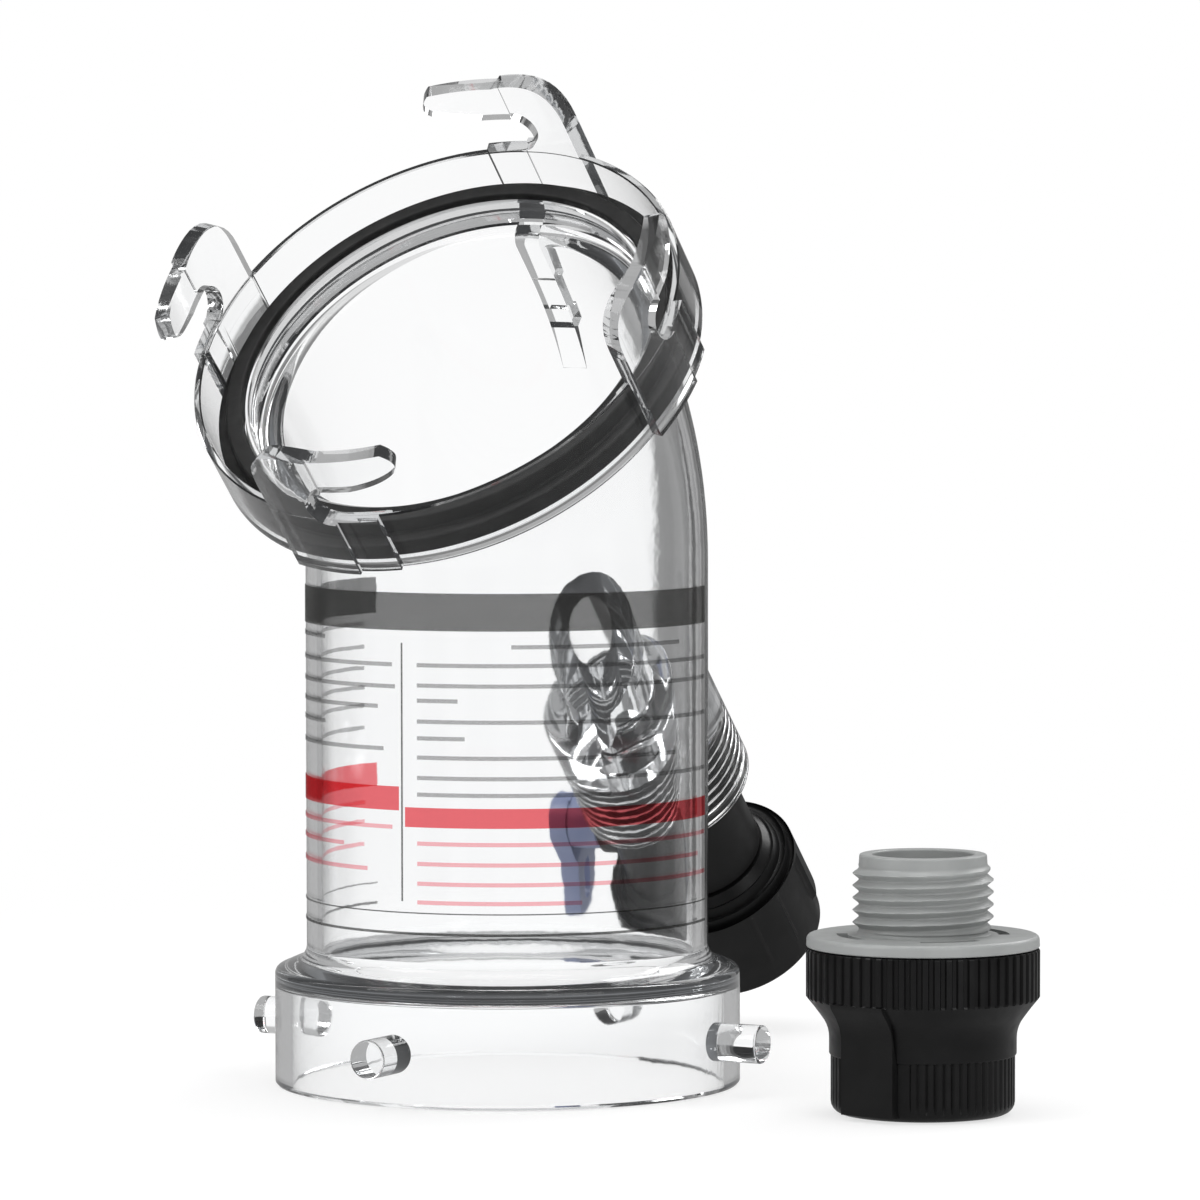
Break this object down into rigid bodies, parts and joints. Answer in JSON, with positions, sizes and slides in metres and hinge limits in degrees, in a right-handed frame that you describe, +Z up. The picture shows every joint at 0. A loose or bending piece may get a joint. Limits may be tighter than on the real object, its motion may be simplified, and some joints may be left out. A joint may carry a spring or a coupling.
{
  "type": "sewer hose kit",
  "caption": "Clear 45 degree flushing elbow with bayonet hooks, lug ring and a side inlet with ball valve and swivel hose nut, and a separate vacuum breaker.",
  "frame": {"origin": "centre of the whole kit's bounding box at the level of the surface it stands on", "axes": "+Z up along the lower leg, the upper leg leans towards -Y, the breaker stands towards +X"},
  "size_m": [0.1712, 0.1936, 0.1976],
  "materials": {
    "clear_plastic": "clear moulded plastic, polished",
    "black_plastic": "black moulded plastic, satin",
    "black_rubber": "soft black rubber",
    "grey_plastic": "grey moulded plastic, satin",
    "blue_plastic": "slate blue moulded plastic",
    "white_plastic": "white low-friction plastic",
    "steel": "plain stainless steel"
  },
  "bodies": {
    "elbow": {"elbow_body": "clear_plastic", "ring_gasket": "black_rubber", "inlet_washer": "black_rubber", "valve_body": "black_plastic", "ball_seat_inlet": "white_plastic", "ball_seat_outlet": "white_plastic", "stem_seal": "black_rubber", "valve_tailpiece": "black_plastic"},
    "lever": {"valve_lever": "blue_plastic", "valve_stem": "black_plastic", "valve_ball": "white_plastic", "lever_screw": "steel"},
    "nut": {"hose_nut": "black_plastic", "hose_washer": "black_rubber"},
    "breaker": {"breaker_body": "black_plastic", "breaker_cap": "grey_plastic", "breaker_washer": "black_rubber", "breaker_diaphragm": "black_rubber", "breaker_spring": "steel"},
    "poppet": {"breaker_poppet": "white_plastic", "breaker_seal_disc": "black_rubber"}
  },
  "joints": [
    {"name": "lever_turn", "type": "hinge", "parent": "elbow", "child": "lever", "pos_m": [-0.04945, 0.05994, 0.04454], "axis": [1, 0, 0], "range_deg": [0, 90]},
    {"name": "nut_turn", "type": "hinge", "parent": "elbow", "child": "nut", "pos_m": [-0.02945, 0.07479, 0.02969], "axis": [0, 0.7071, -0.7071], "continuous": true},
    {"name": "breaker_lift", "type": "slide", "parent": "elbow", "child": "breaker", "axis": [0, 0, 1], "range_m": [0, 0.08]},
    {"name": "poppet_lift", "type": "slide", "parent": "breaker", "child": "poppet", "axis": [0, 0, 1], "range_m": [0, 0.003], "stiffness_N_per_m": 120, "springref_m": -0.002, "deforming": ["breaker_spring"]}
  ]
}
